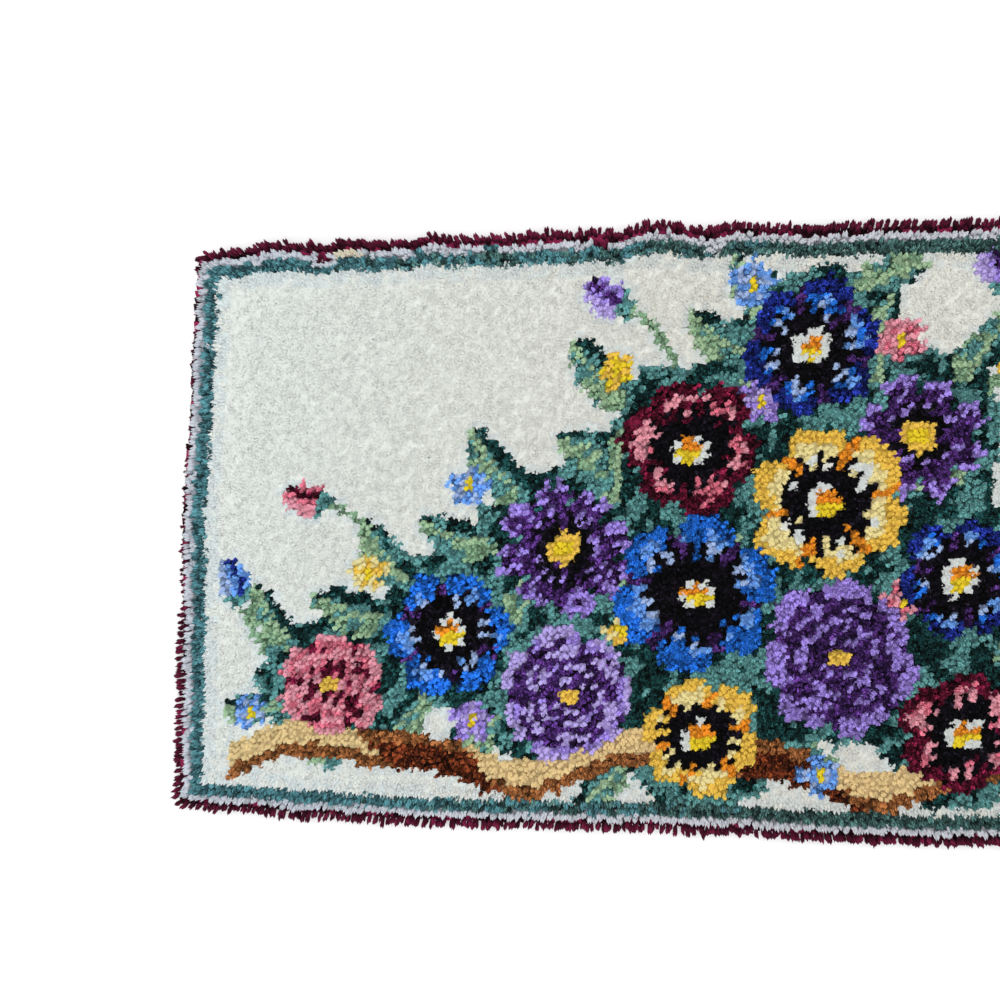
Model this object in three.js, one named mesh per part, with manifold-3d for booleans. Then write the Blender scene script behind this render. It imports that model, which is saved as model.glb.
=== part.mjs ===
// Latch hook rug: knotted cut-yarn pile on an open canvas, lying flat with its pile up.
// Millimetres, +Z up, +X along the long side, origin under the middle of the whole outline.

import * as THREE from "three";
import { mergeVertices } from "three/addons/utils/BufferGeometryUtils.js";
import Module from "manifold-3d";

// Canvas and pile
const KNOTS_ACROSS = 135;
const KNOTS_DOWN = 90;
const KNOT_PITCH = 25.4 / 3.75;
const CANVAS_WIDTH = KNOTS_ACROSS * KNOT_PITCH;
const CANVAS_DEPTH = KNOTS_DOWN * KNOT_PITCH;
const PILE_HEIGHT = 25;
const LUMP_HEIGHT = 4;
const RIM_UNEVENNESS = 1;

// Cells of the lumpy top, about three knots each way
const CELLS_ACROSS = 42;
const CELLS_DOWN = 28;

// How far each edge of the canvas stands out from a true rectangle, from one corner to the next.
// The left edge was pulled in towards the top when the rug was hooked.
const LEFT_EDGE = [
  { along: 0.0, out: 16 },
  { along: 0.1, out: 11 },
  { along: 0.22, out: 7.5 },
  { along: 0.4, out: 2.5 },
  { along: 0.58, out: -2.5 },
  { along: 0.65, out: -9 },
  { along: 0.72, out: -12.5 },
  { along: 0.8, out: -15 },
  { along: 0.9, out: -20 },
  { along: 1.0, out: -25 },
];
const RIGHT_EDGE = [
  { along: 0.0, out: -3 },
  { along: 0.35, out: 2 },
  { along: 0.7, out: -2 },
  { along: 1.0, out: 3 },
];
const TOP_EDGE = [
  { along: 0.0, out: -8 },
  { along: 0.05, out: -7 },
  { along: 0.1, out: 0 },
  { along: 0.13, out: 0 },
  { along: 0.155, out: -2.5 },
  { along: 0.26, out: -2.5 },
  { along: 0.287, out: 1.5 },
  { along: 0.315, out: -2 },
  { along: 0.36, out: -1.5 },
  { along: 0.415, out: 1 },
  { along: 0.45, out: -2.5 },
  { along: 0.472, out: 0.5 },
  { along: 0.5, out: -2 },
  { along: 0.527, out: 5 },
  { along: 0.555, out: 6 },
  { along: 0.6, out: 1.5 },
  { along: 0.67, out: -1.5 },
  { along: 1.0, out: -3 },
];
const BOTTOM_EDGE = [
  { along: 0.0, out: -2 },
  { along: 0.3, out: 3 },
  { along: 0.6, out: -2 },
  { along: 0.85, out: 1 },
  { along: 1.0, out: -3 },
];

// How far the left edge is rolled under, from the bottom corner to the top one: 0 open, 1 tucked down
const LEFT_ROLL = [
  { along: 0.0, out: 0 },
  { along: 0.3, out: 0 },
  { along: 0.4, out: 0.5 },
  { along: 0.58, out: 0.7 },
  { along: 0.75, out: 1 },
  { along: 0.92, out: 1 },
  { along: 1.0, out: 0.4 },
];

// Section through the rim, from the floor up: height, and how far the pile stands past the canvas.
// The last two columns are the same for a rolled edge.
const RIM = [
  { height: 0, out: -4, rolledHeight: 0, rolledOut: -5 },
  { height: 9, out: 4.5, rolledHeight: 7, rolledOut: 0.5 },
  { height: 18.5, out: 2, rolledHeight: 14, rolledOut: -3.5 },
  { height: 24, out: -7, rolledHeight: 20, rolledOut: -11 },
];
const CORNER_CUT = 6;

// Locks of yarn at the rim, high and low ones by turns
const LOCKS_ACROSS = 68;
const LOCKS_DOWN = 45;
const LOCK_ROOT_RADIUS = 6.2;
const LOCK_TIP_RADIUS = 3.1;
const LOCK_FLATNESS = 0.62;
const LOCK_SUNK = 7;
const LOCK_SIDES = 4;
const LOCK_PARTS = 2;
const LOCK_UNEVENNESS = 2.2;
const LOCK_RISE_UNEVENNESS = 6;
const LOCK_PLACE_UNEVENNESS = 0.12;
const LOCKS = [
  { height: 13.5, length: 16.5, rise: 20, rolledHeight: 10, rolledLength: 14, rolledRise: -8 },
  { height: 7.5, length: 15, rise: 2, rolledHeight: 6.5, rolledLength: 12.5, rolledRise: -14 },
];
const LOCK_ARCH = 0.9;
const LOCK_SPREAD = 11;
const FLOOR_CLEARANCE = 0.8;
const SMALLEST_STEP = 0.05;

const YARN = new THREE.MeshStandardMaterial({ color: 0xdcdccf, roughness: 0.95, metalness: 0 });

// Random numbers that are the same on each run
let seed = 20417;
function random() {
  seed = (seed + 0x6d2b79f5) | 0;
  let t = Math.imul(seed ^ (seed >>> 15), 1 | seed);
  t = (t + Math.imul(t ^ (t >>> 7), 61 | t)) ^ t;
  return ((t ^ (t >>> 14)) >>> 0) / 4294967296;
}

function jitter(size) {
  return size * (2 * random() - 1);
}

// Smooth value of an edge table part of the way along
function readTable(table, along) {
  const last = table.length - 1;
  let row = 0;
  while (row < last - 1 && along > table[row + 1].along) row += 1;
  const before = table[row];
  const after = table[row + 1];
  const part = THREE.MathUtils.smoothstep(along, before.along, after.along);
  return THREE.MathUtils.lerp(before.out, after.out, part);
}

// Place on the canvas: across runs left to right and down runs from the bottom edge to the top one
function onCanvas(across, up) {
  const left = -CANVAS_WIDTH / 2 - readTable(LEFT_EDGE, up);
  const right = CANVAS_WIDTH / 2 + readTable(RIGHT_EDGE, up);
  const bottom = -CANVAS_DEPTH / 2 - readTable(BOTTOM_EDGE, across);
  const top = CANVAS_DEPTH / 2 + readTable(TOP_EDGE, across);
  return new THREE.Vector2(
    THREE.MathUtils.lerp(left, right, across),
    THREE.MathUtils.lerp(bottom, top, up),
  );
}

// Way out of the rug at a place on its edge, and how much the edge is rolled under there
function edgeAt(across, up) {
  const outward = new THREE.Vector2();
  if (across === 0 || across === 1) outward.x = across - 0.5;
  if (up === 0 || up === 1) outward.y = up - 0.5;
  const corner = outward.x !== 0 && outward.y !== 0;
  outward.normalize();
  const roll = across === 0 ? readTable(LEFT_ROLL, up) : 0;
  return { outward, corner, roll };
}

// Lumpy slab: a box of cells whose sides follow the rim's section and whose top is uneven
function makeSlab() {
  const levels = RIM.length - 1;
  const box = new THREE.BoxGeometry(1, 1, 1, CELLS_ACROSS, CELLS_DOWN, levels);
  box.deleteAttribute("normal");
  box.deleteAttribute("uv");
  const slab = mergeVertices(box);
  const points = slab.attributes.position;
  for (let i = 0; i < points.count; i += 1) {
    const across = Math.round((points.getX(i) + 0.5) * CELLS_ACROSS) / CELLS_ACROSS;
    const up = Math.round((points.getY(i) + 0.5) * CELLS_DOWN) / CELLS_DOWN;
    const level = Math.round((points.getZ(i) + 0.5) * levels);
    const place = onCanvas(across, up);
    const { outward, corner, roll } = edgeAt(across, up);
    let height = level === 0 ? 0 : PILE_HEIGHT - LUMP_HEIGHT * random();
    if (outward.length() > 0) {
      const section = RIM[level];
      const out = THREE.MathUtils.lerp(section.out, section.rolledOut, roll);
      place.addScaledVector(outward, out - (corner ? CORNER_CUT : 0));
      height = THREE.MathUtils.lerp(section.height, section.rolledHeight, roll);
      if (level > 0) {
        height += jitter(RIM_UNEVENNESS);
        place.addScaledVector(outward, jitter(RIM_UNEVENNESS));
      }
    }
    points.setXYZ(i, place.x, place.y, height);
  }
  return slab;
}

// One lock: a four-sided tapered strand, arched so that its tip droops, from a root inside the slab
function makeLock(across, up, kind) {
  const { outward, corner, roll } = edgeAt(across, up);
  const height = THREE.MathUtils.lerp(kind.height, kind.rolledHeight, roll);
  const length = THREE.MathUtils.lerp(kind.length, kind.rolledLength, roll) + jitter(LOCK_UNEVENNESS);
  const rise = THREE.MathUtils.degToRad(
    THREE.MathUtils.lerp(kind.rise, kind.rolledRise, roll) + jitter(LOCK_RISE_UNEVENNESS),
  );
  const strand = new THREE.CylinderGeometry(
    LOCK_TIP_RADIUS,
    LOCK_ROOT_RADIUS,
    length,
    LOCK_SIDES,
    LOCK_PARTS,
  );
  strand.deleteAttribute("normal");
  strand.deleteAttribute("uv");
  const lock = mergeVertices(strand);
  const points = lock.attributes.position;
  for (let i = 0; i < points.count; i += 1) {
    const atMiddle = Math.abs(points.getY(i)) < length / LOCK_PARTS / 2;
    const arch = atMiddle ? LOCK_ARCH : 0;
    points.setZ(i, points.getZ(i) * LOCK_FLATNESS + arch);
  }
  // Lay the strand along +X with its root at the origin, then lift and turn it to its place
  lock.rotateZ(-Math.PI / 2);
  lock.translate(length / 2, 0, 0);
  lock.rotateY(-rise);
  lock.rotateZ(outward.angle() + THREE.MathUtils.degToRad(jitter(LOCK_SPREAD)));
  const rootOut = RIM[1].out - LOCK_SUNK - (corner ? CORNER_CUT : 0);
  const root = onCanvas(across, up).addScaledVector(outward, rootOut);
  lock.translate(root.x, root.y, height);
  for (let i = 0; i < points.count; i += 1) {
    points.setZ(i, Math.max(points.getZ(i), FLOOR_CLEARANCE));
  }
  return lock;
}

// Places of the locks round the rug, evenly along each side
function lockPlaces() {
  const places = [];
  for (let i = 0; i < LOCKS_ACROSS; i += 1) {
    const across = (i + 0.5 + jitter(LOCK_PLACE_UNEVENNESS)) / LOCKS_ACROSS;
    places.push({ across, up: 0, turn: i }, { across, up: 1, turn: i + 1 });
  }
  for (let i = 0; i < LOCKS_DOWN; i += 1) {
    const up = (i + 0.5 + jitter(LOCK_PLACE_UNEVENNESS)) / LOCKS_DOWN;
    places.push({ across: 0, up, turn: i }, { across: 1, up, turn: i + 1 });
  }
  for (const up of [0, 1]) {
    places.push({ across: 0, up, turn: 0 }, { across: 1, up, turn: 0 });
  }
  return places;
}

const wasm = await Module();
wasm.setup();

function toSolid(geometry) {
  const mesh = new wasm.Mesh({
    numProp: 3,
    vertProperties: new Float32Array(geometry.attributes.position.array),
    triVerts: new Uint32Array(geometry.index.array),
  });
  return new wasm.Manifold(mesh);
}

function toGeometry(solid) {
  const mesh = solid.getMesh();
  const geometry = new THREE.BufferGeometry();
  geometry.setAttribute("position", new THREE.BufferAttribute(mesh.vertProperties, 3));
  geometry.setIndex(new THREE.BufferAttribute(mesh.triVerts, 1));
  return geometry;
}

// The whole rug as one solid, centred over the origin
function makeRug() {
  let solid = toSolid(makeSlab());
  for (const place of lockPlaces()) {
    const kind = LOCKS[place.turn % LOCKS.length];
    solid = solid.add(toSolid(makeLock(place.across, place.up, kind)));
  }
  const geometry = toGeometry(solid.asOriginal().simplify(SMALLEST_STEP));
  geometry.computeBoundingBox();
  const middle = geometry.boundingBox.getCenter(new THREE.Vector3());
  geometry.translate(-middle.x, -middle.y, -geometry.boundingBox.min.z);
  geometry.computeVertexNormals();
  return geometry;
}

const hookedRug = new THREE.Mesh(makeRug(), YARN);
hookedRug.name = "hooked_rug";

const rug = new THREE.Group();
rug.add(hookedRug);

export default rug;
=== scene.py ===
import math

import bmesh
import bpy
import numpy as np
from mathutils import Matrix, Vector


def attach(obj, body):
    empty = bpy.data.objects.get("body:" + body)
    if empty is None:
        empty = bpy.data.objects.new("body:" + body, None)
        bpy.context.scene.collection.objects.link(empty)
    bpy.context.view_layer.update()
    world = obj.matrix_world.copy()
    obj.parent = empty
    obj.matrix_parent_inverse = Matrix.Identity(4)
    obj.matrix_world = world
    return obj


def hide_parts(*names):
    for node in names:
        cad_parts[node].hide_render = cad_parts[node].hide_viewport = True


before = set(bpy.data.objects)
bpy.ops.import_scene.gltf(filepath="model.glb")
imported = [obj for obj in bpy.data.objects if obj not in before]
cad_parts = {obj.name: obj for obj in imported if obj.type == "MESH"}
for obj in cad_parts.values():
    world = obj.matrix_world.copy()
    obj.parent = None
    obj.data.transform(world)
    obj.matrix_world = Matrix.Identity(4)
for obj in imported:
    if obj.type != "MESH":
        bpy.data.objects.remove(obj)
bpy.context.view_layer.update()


# Rug canvas
# The real piece is a sheet of stiff cotton canvas, woven with 3.75 holes to the inch. It was cut square,
# then pulled out of true while it was hooked, so its left edge leans in towards the top.
MM = 0.001
KNOTS_ACROSS = 135
KNOTS_DOWN = 90
KNOT_PITCH = 0.0254 / 3.75
CANVAS_WIDTH = KNOTS_ACROSS * KNOT_PITCH
CANVAS_DEPTH = KNOTS_DOWN * KNOT_PITCH
# Set off so that the origin is under the middle of the whole outline, pile and all
CANVAS_MIDDLE = (5.9 * MM, -1.4 * MM)
# Height of its back over the floor, held up by the knots
CANVAS_BACK = 1.5 * MM
CANVAS_THICKNESS = 0.9 * MM
CANVAS_COLOUR = "e9e2cd"
# Painted shade between the threads
CANVAS_GAP_SHADE = "8f8672"
# Noise cells in a metre of cotton, and how much they show in its colour and its relief
COTTON_FIBRES = 1500.0
COTTON_FLECK = 0.3
COTTON_FUZZ = 0.2
# How much lighter a thread is at its top than the painted shade between threads, and how far it stands out
# there
THREAD_LIGHT = 0.6
THREAD_RELIEF = 0.6 * MM
# Weights that sort its faces by x, then y, then z, since solidify makes those of the rim in any order
FACE_ORDER = (1000, 10, 1)
# Each edge from one corner to the next: part of the way along, and how many millimetres it is pulled outwards
LEFT_EDGE = (
    (0.0, 16), (0.1, 11), (0.22, 7.5), (0.4, 2.5), (0.53, 1.5), (0.58, -2.5), (0.65, -6.5), (0.72, -12.5),
    (0.8, -15), (0.9, -20), (1.0, -25),
)
RIGHT_EDGE = ((0.0, -3), (0.35, 2), (0.7, -2), (1.0, 3))
TOP_EDGE = (
    (0.0, -9), (0.045, -7), (0.07, -2.5), (0.09, -0.5), (0.115, -1), (0.14, -4), (0.155, -5), (0.185, -0.5),
    (0.21, -3), (0.26, -2.5), (0.287, 3), (0.315, -2), (0.36, -1.5), (0.393, -2), (0.415, 0.5), (0.45, -2.5),
    (0.472, 0.5), (0.5, -2), (0.527, 5), (0.555, 6), (0.6, -1.5), (0.64, 2.5), (0.67, 1), (0.72, -2),
    (1.0, -3),
)
BOTTOM_EDGE = ((0.0, -2), (0.3, 3), (0.6, -2), (0.85, 1), (1.0, -3))


def smooth(part):
    """Eases a part from 0 to 1 in and out."""
    return part * part * (3 - 2 * part)


def read_edge(table, along):
    """Smooth value of an edge table at these parts of the way along."""
    places, values = np.array(table).T
    row = np.clip(np.searchsorted(places, along, side="right") - 1, 0, len(places) - 2)
    part = (along - places[row]) / (places[row + 1] - places[row])
    return values[row] + (values[row + 1] - values[row]) * smooth(part)


def on_canvas(across, up):
    """Places on the canvas, from parts of the way across and up it."""
    left = -CANVAS_WIDTH / 2 - read_edge(LEFT_EDGE, up) * MM
    right = CANVAS_WIDTH / 2 + read_edge(RIGHT_EDGE, up) * MM
    bottom = -CANVAS_DEPTH / 2 - read_edge(BOTTOM_EDGE, across) * MM
    top = CANVAS_DEPTH / 2 + read_edge(TOP_EDGE, across) * MM
    x = CANVAS_MIDDLE[0] + left + (right - left) * across
    y = CANVAS_MIDDLE[1] + bottom + (top - bottom) * up
    return np.stack((x, y), axis=-1)


def dyed(colour):
    """Linear colour of a hexadecimal one."""
    parts = [int(colour[i : i + 2], 16) / 255 for i in (0, 2, 4)]
    return tuple(p / 12.92 if p < 0.04045 else ((p + 0.055) / 1.055) ** 2.4 for p in parts) + (1,)


class Wire:
    """An output of a shader node. Sums and products of wires add their Math nodes."""

    def __init__(self, tree, socket=None):
        self.tree = tree
        self.socket = socket

    def node(self, kind, settings, inputs, output=0):
        """Adds a node of this kind, sets it up, fills or links its sockets, and gives one output."""
        made = self.tree.nodes.new("ShaderNode" + kind)
        for name, value in settings.items():
            setattr(made, name, value)
        for name, value in inputs.items():
            if isinstance(value, Wire):
                self.tree.links.new(value.socket, made.inputs[name])
            else:
                made.inputs[name].default_value = value
        return Wire(self.tree, made.outputs[output] if len(made.outputs) else None)

    def math(self, operation, first, second=0.0):
        return self.node("Math", {"operation": operation}, {0: first, 1: second})

    def __add__(self, other):
        return self.math("ADD", self, other)

    def __sub__(self, other):
        return self.math("SUBTRACT", self, other)

    def __rsub__(self, other):
        return self.math("SUBTRACT", other, self)

    def __mul__(self, other):
        return self.math("MULTIPLY", self, other)

    def __pow__(self, other):
        return self.math("POWER", self, other)

    def __rpow__(self, other):
        return self.math("POWER", other, self)

    __radd__ = __add__
    __rmul__ = __mul__


def new_material(name):
    """A material with an empty tree, and its starting wire."""
    material = bpy.data.materials.new(name)
    material.use_nodes = True
    material.node_tree.nodes.clear()
    return material, Wire(material.node_tree)


def new_piece(name, mesh, material):
    """Puts a mesh in the scene as a named piece that rides on the rug."""
    mesh.materials.append(material)
    piece = bpy.data.objects.new(name, mesh)
    bpy.context.scene.collection.objects.link(piece)
    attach(piece, "root")
    return piece


def canvas_mesh():
    """A closed sheet of canvas cells, one for each two knots, with its edges out of true."""
    sheet = bmesh.new()
    bmesh.ops.create_grid(sheet, x_segments=KNOTS_ACROSS // 2, y_segments=KNOTS_DOWN // 2, size=0.5)
    corners = np.array([v.co for v in sheet.verts])
    places = on_canvas(corners[:, 0] + 0.5, corners[:, 1] + 0.5)
    for corner, place in zip(sheet.verts, places):
        corner.co = (place[0], place[1], CANVAS_BACK)
    bmesh.ops.solidify(sheet, geom=sheet.faces[:], thickness=-CANVAS_THICKNESS)
    bmesh.ops.recalc_face_normals(sheet, faces=sheet.faces[:])
    sheet.faces.sort(key=lambda face: face.calc_center_median().dot(FACE_ORDER))
    mesh = bpy.data.meshes.new("canvas")
    sheet.to_mesh(mesh)
    sheet.free()
    return mesh


def canvas_material():
    """Sized cotton threads crossing at each knot, with painted shade between them."""
    material, start = new_material("canvas_cotton")
    place = start.node("TexCoord", {}, {}, "Object")
    across = start.node("SeparateXYZ", {}, {0: place}, "X")
    up = start.node("SeparateXYZ", {}, {0: place}, "Y")
    turns = 2 * math.pi / KNOT_PITCH
    warp = start.math("SINE", across * turns) * 0.5 + 0.5
    weft = start.math("SINE", up * turns) * 0.5 + 0.5
    thread = start.math("MAXIMUM", warp, weft)
    fibre = start.node("TexNoise", {}, {"Vector": place, "Scale": COTTON_FIBRES, "Detail": 3.0}, "Fac")
    # Lighter at each thread's top, with painted shade between the threads
    colour = start.node(
        "Mix",
        {"data_type": "RGBA"},
        {
            "Factor": thread * THREAD_LIGHT + fibre * COTTON_FLECK,
            "A": dyed(CANVAS_GAP_SHADE),
            "B": dyed(CANVAS_COLOUR),
        },
        "Result",
    )
    relief = start.node(
        "Bump",
        {},
        {"Height": thread + fibre * COTTON_FUZZ, "Strength": 0.6, "Distance": THREAD_RELIEF},
        "Normal",
    )
    shader = start.node(
        "BsdfPrincipled", {}, {"Base Color": colour, "Roughness": 0.9, "Normal": relief}, "BSDF"
    )
    start.node("OutputMaterial", {}, {"Surface": shader})
    return material


canvas = new_piece("canvas", canvas_mesh(), canvas_material())
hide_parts("hooked_rug")


# Chart of the design
# A hooker follows a chart that gives the colour of yarn for each hole: a ring of border rows, an ivory
# field, and a spray of flowers, leaves and ribbon that curves round the lower right.
DYES = {
    "ivory": "e4ebe6", "cold_white": "d9e5e6", "burgundy": "56142e", "lilac_grey": "cfd6e0",
    "beige": "dad2bc", "teal": "4a7a82", "deep_teal": "3c5c5a", "blue": "2066c2", "sky_blue": "6fa6ee",
    "pale_blue": "a9c4ee", "navy": "16246c", "aubergine": "361f52", "lilac": "a08ce0",
    "pale_lilac": "bdb0ee", "rose": "d4748a", "pale_pink": "e4a0b0", "wine": "440b20",
    "pale_yellow": "f2eaac", "gold": "f0ce5a", "orange": "e6962a", "yellow": "f0dc34",
    "bottle_green": "0e2c2c", "sea_green": "5a9292", "sage": "86ac8c", "pale_sage": "a6c8a4",
    "black": "050408", "tan": "ead49e", "brown": "48200f", "nut": "8a5a34",
}
DYE_NAMES = list(DYES)
CHART_SEED = 11
# How many rows in from the edge each colour of the border ends
BURGUNDY_ROWS = 1
GREY_ROWS = 2
TEAL_ROWS = 4
# Rows in from the edge, past the border, and share of their knots that are a colder white
COLD_ROWS = 6
COLD_SHARE = 0.7
# Part of the way across where a darker teal starts to mix in, and over how much it takes over
DEEP_TEAL_FROM = 0.1
DEEP_TEAL_OVER = 0.65
chance = np.random.default_rng(CHART_SEED)
column, row = np.meshgrid(np.arange(KNOTS_ACROSS), np.arange(KNOTS_DOWN), indexing="ij")
right = column - (KNOTS_ACROSS - 1) / 2
up = row - (KNOTS_DOWN - 1) / 2
rows_in = np.minimum(
    np.minimum(column, KNOTS_ACROSS - 1 - column), np.minimum(row, KNOTS_DOWN - 1 - row)
)
chart = np.full(column.shape, DYE_NAMES.index("ivory"))


def cloud(size):
    """Smooth random field over the knots, from -1 to 1, with lumps this many knots wide."""
    coarse = chance.uniform(-1, 1, (int(KNOTS_ACROSS / size) + 3, int(KNOTS_DOWN / size) + 3))
    i, j = (column / size).astype(int), (row / size).astype(int)
    s, t = smooth(column / size - i), smooth(row / size - j)
    low = coarse[i, j] * (1 - s) + coarse[i + 1, j] * s
    high = coarse[i, j + 1] * (1 - s) + coarse[i + 1, j + 1] * s
    return low * (1 - t) + high * t


def hook(where, dye):
    """Charts one colour of yarn where the condition holds."""
    chart[where] = DYE_NAMES.index(dye)


# Least and greatest length of a petal as a share of the flower's radius, a power that is high for broad
# petals with narrow gaps between them, and how uneven their edges are
PETAL_SIZES = (0.92, 1.06)
PETAL_BREADTH = 2.5
PETAL_WAVE = 0.05


def petals_round(middle, radius, count, turn, fullness):
    """Distance from a flower's middle, how far off its petal's rib a knot is, and how near the petal's rim.
    The second runs from 0 on the rib to 0.5 on a side, and the third from 0 in the middle to 1 on the rim.
    Fullness is the share of the radius at which two petals part."""
    dx, dy = right - middle[0], up - middle[1]
    reach = np.hypot(dx, dy)
    part = (np.arctan2(dy, dx) - turn) * count / (2 * np.pi)
    number = np.round(part)
    off = part - number
    sizes = chance.uniform(*PETAL_SIZES, count)[number.astype(int) % count]
    edge = radius * sizes * (1 - (1 - fullness) * np.abs(2 * off) ** PETAL_BREADTH)
    return reach, off, reach / edge + PETAL_WAVE * cloud(2)


def hook_eye(reach, up_from_middle):
    """White, yellow and orange middle of an anemone."""
    ring = reach + 0.5 * cloud(1.2)
    heart = ring < 1.9
    hook(ring < 2.5, "cold_white")
    hook(heart, "yellow")
    hook(heart & (up_from_middle > 0.4), "orange")


def hook_anemone(middle, radius, count, turn, rim, body, light, shade, glow):
    """Broad petals with a darker rim, a pale glow and black rays round the eye."""
    reach, off, depth = petals_round(middle, radius, count, turn, fullness=0.8)
    inside = depth < 1
    hook(inside, body)
    patch = cloud(2.2)
    hook(inside & (depth < 0.82) & (patch > 0.05), light)
    hook(inside & (depth > 0.80 + 0.08 * patch), rim)
    between_petals = (np.abs(off) > 0.41) & (depth > 0.4)
    hook(inside & between_petals, shade)
    past_rays = (depth < 0.68) & (depth > 0.36) & (np.abs(off) < 0.26)
    hook(inside & past_rays & (cloud(1.4) > -0.1), glow)
    three_rays = 0.5 + 0.5 * np.cos(off * 6 * np.pi)
    ray_reach = 0.44 + 0.26 * three_rays + 0.07 * cloud(1.5)
    hook(reach < radius * ray_reach, "black")
    hook_eye(reach, up - middle[1])


# Radius of each ring of a rose as a share of the outer one, and turn from one ring to the next
ROSE_RINGS = (1.0, 0.74, 0.5, 0.28)
ROSE_TWIST = 0.6


def hook_rose(middle, radius, count, turn, deep, body, light, pale):
    """Rings of overlapping petals, each with a pale lip and a deep fold under the ring inside it."""
    for ring, share in enumerate(ROSE_RINGS):
        ring_turn = turn + ROSE_TWIST * ring
        reach, off, depth = petals_round(middle, radius * share, count - ring, ring_turn, fullness=0.86)
        inside = depth < 1
        lip = (reach > radius * share - 1.7) & (np.abs(off) < 0.34)
        between_petals = (np.abs(off) > 0.41) & (depth > 0.5)
        hook(inside, body if ring % 2 else light)
        hook(inside & lip, pale)
        hook(inside & between_petals, deep)
        hook(depth < 0.80, body)
        hook(depth < 0.74 + 0.06 * cloud(1.6), deep)
    hook(reach < 1.5, "gold")


def hook_cosmos(middle, radius, count, turn, rim, body, light, shade):
    """Notched, striped petals round a small black ring and a gold eye."""
    reach, off, depth = petals_round(middle, radius, count, turn, fullness=0.66)
    two_waves = np.cos(off * 4 * np.pi)
    notch = 0.10 * (two_waves > 0.55)
    inside = depth + notch < 1
    hook(inside, body)
    stripe = np.abs(np.sin(off * 3.2 * np.pi)) + 0.5 * cloud(1.6)
    between_petals = (np.abs(off) > 0.39) & (depth > 0.3)
    hook(inside & (stripe > 0.88), light)
    hook(inside & (depth > 0.86), rim)
    hook(inside & between_petals, shade)
    ring_reach = 0.40 + 0.12 * two_waves + 0.06 * cloud(1.5)
    hook(reach < radius * ring_reach, "black")
    hook(reach < 2.5 + 0.4 * cloud(1.2), "gold")
    hook(reach < 1.5, "yellow")


def along_and_across(start, aim):
    """Distances from a point along a direction and to its left."""
    dx, dy = right - start[0], up - start[1]
    return dx * math.cos(aim) + dy * math.sin(aim), dy * math.cos(aim) - dx * math.sin(aim)


# Bend of a leaf's rib and waves of its edge in knots, and share by which it is narrower towards its point
LEAF_CURVE = 0.8
LEAF_WAVES = 0.6
LEAF_TAPER = 0.25


def hook_leaf(base_right, base_up, aim, length, width):
    """Curved pointed leaf, pale on one side of its rib and dark on the other."""
    along, across = along_and_across((base_right, base_up), aim)
    part = along / length
    across = across - LEAF_CURVE * np.sin(part * np.pi)
    half = width * np.sqrt(np.clip(4 * part * (1 - part), 0, 1)) * (1 - LEAF_TAPER * part)
    half = half + LEAF_WAVES * cloud(1.6)
    inside = (part > 0) & (part < 1) & (np.abs(across) < half)
    tone = cloud(1.8)
    hook(inside, "sea_green")
    hook(inside & (across > 0.2 * half) & (tone > -0.2), "sage")
    hook(inside & (across > 0.35 * half) & (tone > 0.35), "pale_sage")
    hook(inside & (across < -0.35 * half) & (tone < 0.3), "bottle_green")
    hook(inside & (np.abs(across) < 0.5) & (part > 0.1), "pale_sage")


def hook_blossom(middle, radius, turn, body, light):
    """Small five-petalled flower."""
    reach, off, depth = petals_round(middle, radius, count=5, turn=turn, fullness=0.6)
    hook(depth < 1, body)
    hook((depth < 0.8) & (np.abs(off) < 0.22), light)
    hook(reach < 1.1, "yellow")


# Sizes in knots. A bud's middle is set off from the end of its stem
STEM_STEPS = 60
STEM_RADIUS = 0.75
BUD_HALF_LENGTH = 4.2
BUD_HALF_WIDTH = 2.7
BUD_OFF = 3.2


def hook_stem_and_bud(start, bend, end, aim, body, light, dark):
    """Thin bent stem with a closed bud on its end."""
    for part in np.linspace(0, 1, STEM_STEPS):
        stem_right, stem_up = (
            (1 - part) ** 2 * a + 2 * part * (1 - part) * b + part**2 * c
            for a, b, c in zip(start, bend, end)
        )
        hook(np.hypot(right - stem_right, up - stem_up) < STEM_RADIUS, "sage")
    middle = (end[0] + BUD_OFF * math.cos(aim), end[1] + BUD_OFF * math.sin(aim))
    along, across = along_and_across(middle, aim)
    rounded = (along / BUD_HALF_LENGTH) ** 2 + (across / BUD_HALF_WIDTH) ** 2
    inside = rounded < 1 + 0.15 * cloud(1.5)
    fold = np.abs(across + 0.8) < 0.6
    sepals = along < -1.8
    hook(inside, body)
    hook(inside & (across > 0.6), light)
    hook(inside & fold, dark)
    hook(inside & sepals, "sea_green")


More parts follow.
